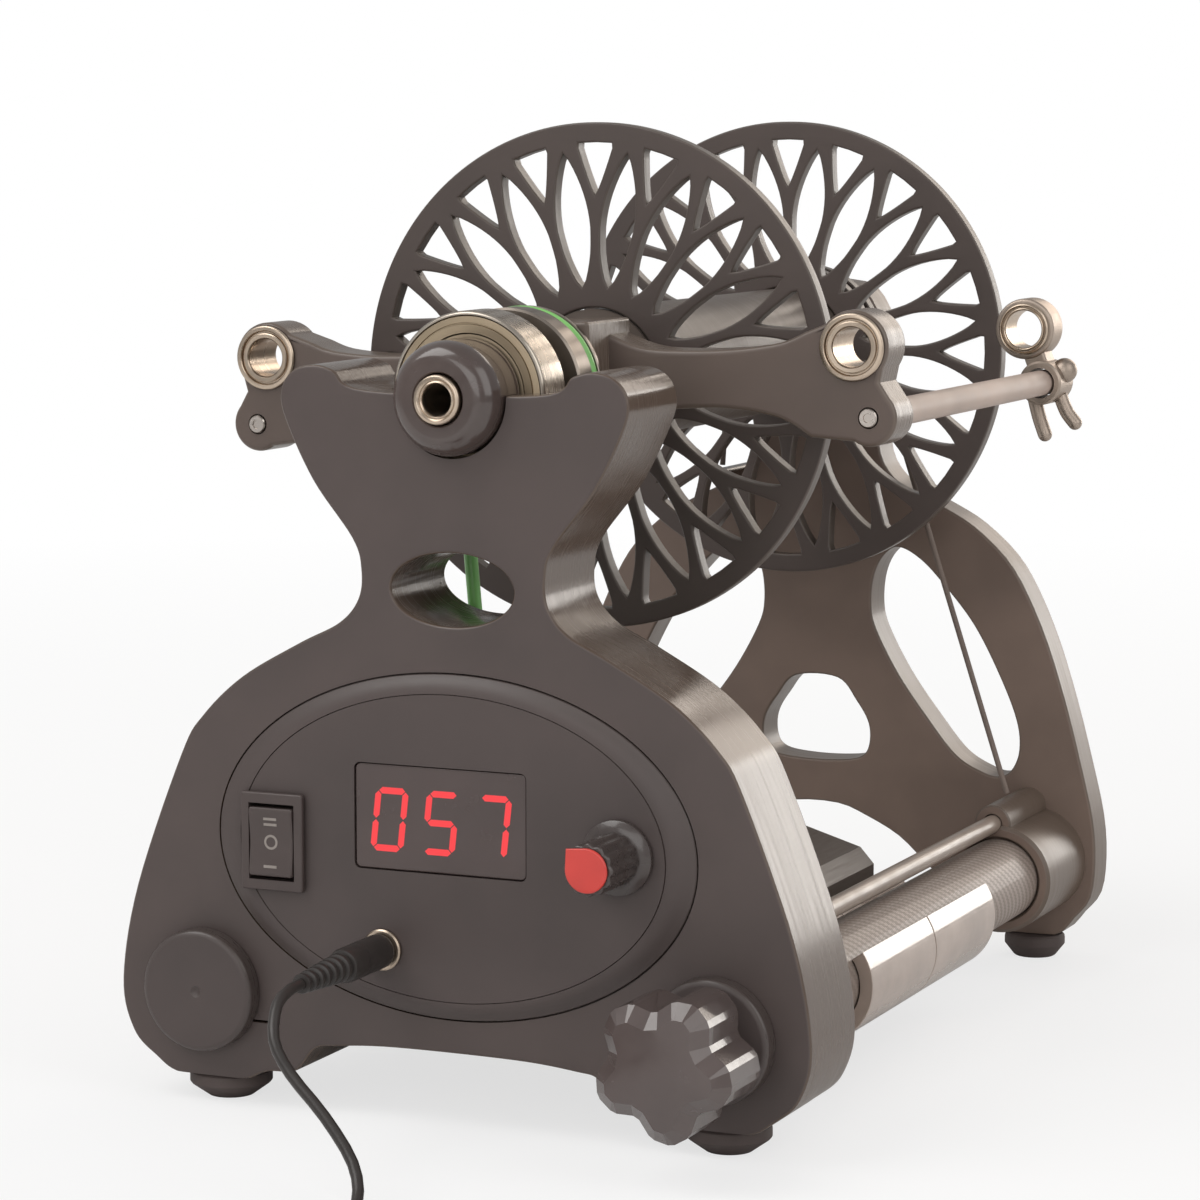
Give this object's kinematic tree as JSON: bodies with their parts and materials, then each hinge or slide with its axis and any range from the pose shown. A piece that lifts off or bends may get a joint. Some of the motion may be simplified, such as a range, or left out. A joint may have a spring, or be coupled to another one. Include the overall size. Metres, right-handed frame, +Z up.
{
  "type": "electric spinning wheel",
  "caption": "Table-top electric spinning wheel: motor-driven flyer and lattice-flanged bobbin between two black frames on carbon tubes, with a front control panel and a power lead.",
  "frame": {"origin": "on the surface that the feet stand on, under the middle of the machine without its power lead", "axes": "+Z up, -Y towards the spinner (the front frame and its panel), +Y to the rear frame, +X to the right as the spinner sees it"},
  "size_m": [0.1602, 0.394, 0.21],
  "materials": {
    "printed_black": "3-D printed, satin, fine layer lines",
    "moulded_black": "moulded, semi-gloss",
    "carbon_tube": "woven carbon fibre under clear resin",
    "foot_rubber": "matt rubber",
    "steel": "bright turned steel",
    "bearing_steel": "ground bearing steel",
    "eyelet_brass": "polished",
    "red_cap": "moulded",
    "green_belt": "smooth polyurethane",
    "display_lens": "dark red-tinted lens",
    "board": "circuit board",
    "lead": "flexible black sheath",
    "brake_line": "braided cord"
  },
  "bodies": {
    "frame": {"front_frame": "printed_black", "rear_frame": "printed_black", "tube_left": "carbon_tube", "tube_right": "carbon_tube", "tube_cap_left": "printed_black", "tube_cap_right": "printed_black", "tie_rod": "steel", "foot_front_left": "foot_rubber", "foot_front_right": "foot_rubber", "foot_rear_left": "foot_rubber", "foot_rear_right": "foot_rubber", "sleeve_front": "steel", "sleeve_rear": "steel", "control_panel": "printed_black", "display_module": "display_lens", "switch_body": "moulded_black", "speed_control": "bearing_steel", "power_socket": "bearing_steel", "control_board": "board", "motor": "bearing_steel", "drive_belt": "green_belt", "motor_housing": "printed_black", "front_bearing_outer": "bearing_steel", "rear_bearing_outer": "bearing_steel", "brake_cord": "brake_line", "power_plug": "moulded_black", "power_cord": "lead", "cord_coil": "lead", "coil_tie": "foot_rubber", "far_plug": "moulded_black"},
    "flyer": {"orifice_ring": "eyelet_brass", "orifice_hub": "moulded_black", "flyer_shaft": "steel", "flyer_pulley": "printed_black", "shaft_collar": "steel", "front_bearing_inner": "bearing_steel", "rear_bearing_inner": "bearing_steel", "flyer_arm": "printed_black", "flyer_rod_left": "carbon_tube", "flyer_rod_right": "carbon_tube", "rod_screw_left": "steel", "rod_screw_right": "steel", "arm_eyelet_left": "eyelet_brass", "arm_eyelet_right": "eyelet_brass"},
    "bobbin": {"bobbin_core": "printed_black", "bobbin_flange_front": "printed_black", "bobbin_flange_rear": "printed_black", "bobbin_bush_front": "printed_black", "bobbin_bush_rear": "printed_black", "bobbin_brake_pulley": "printed_black"},
    "left_guide": {"guide_left": "bearing_steel", "guide_eyelet_left": "eyelet_brass"},
    "right_guide": {"guide_right": "bearing_steel", "guide_eyelet_right": "eyelet_brass"},
    "rotor": {"motor_pulley": "eyelet_brass"},
    "speed_dial": {"speed_knob": "moulded_black", "knob_cap": "red_cap"},
    "rocker": {"switch_rocker": "moulded_black"},
    "brake_screw": {"brake_knob": "moulded_black"}
  },
  "joints": [
    {"name": "flyer_spin", "type": "hinge", "parent": "frame", "child": "flyer", "pos_m": [0, 0, 0.154], "axis": [0, 1, 0], "continuous": true},
    {"name": "bobbin_spin", "type": "hinge", "parent": "flyer", "child": "bobbin", "pos_m": [0, 0, 0.154], "axis": [0, 1, 0], "continuous": true},
    {"name": "left_guide_slide", "type": "slide", "parent": "flyer", "child": "left_guide", "axis": [0, 1, 0], "range_m": [-0.095, 0]},
    {"name": "right_guide_slide", "type": "slide", "parent": "flyer", "child": "right_guide", "axis": [0, 1, 0], "range_m": [-0.095, 0]},
    {"name": "motor_spin", "type": "hinge", "parent": "frame", "child": "rotor", "pos_m": [0, 0, 0.0318], "axis": [0, 1, 0], "continuous": true},
    {"name": "speed_knob_turn", "type": "hinge", "parent": "frame", "child": "speed_dial", "pos_m": [0.0386, -0.10675, 0.0616], "axis": [0, 1, 0], "range_deg": [-105, 195]},
    {"name": "rocker_tilt", "type": "hinge", "parent": "frame", "child": "rocker", "pos_m": [-0.0408, -0.09835, 0.059], "axis": [1, 0, 0], "range_deg": [-9, 9]},
    {"name": "brake_knob_turn", "type": "hinge", "parent": "frame", "child": "brake_screw", "pos_m": [0.0592, -0.12175, 0.0252], "axis": [0, 1, 0], "range_deg": [-360, 360]}
  ],
  "couplings": [
    {"joint": "motor_spin", "follows": "flyer_spin", "ratio": 3.2449}
  ]
}
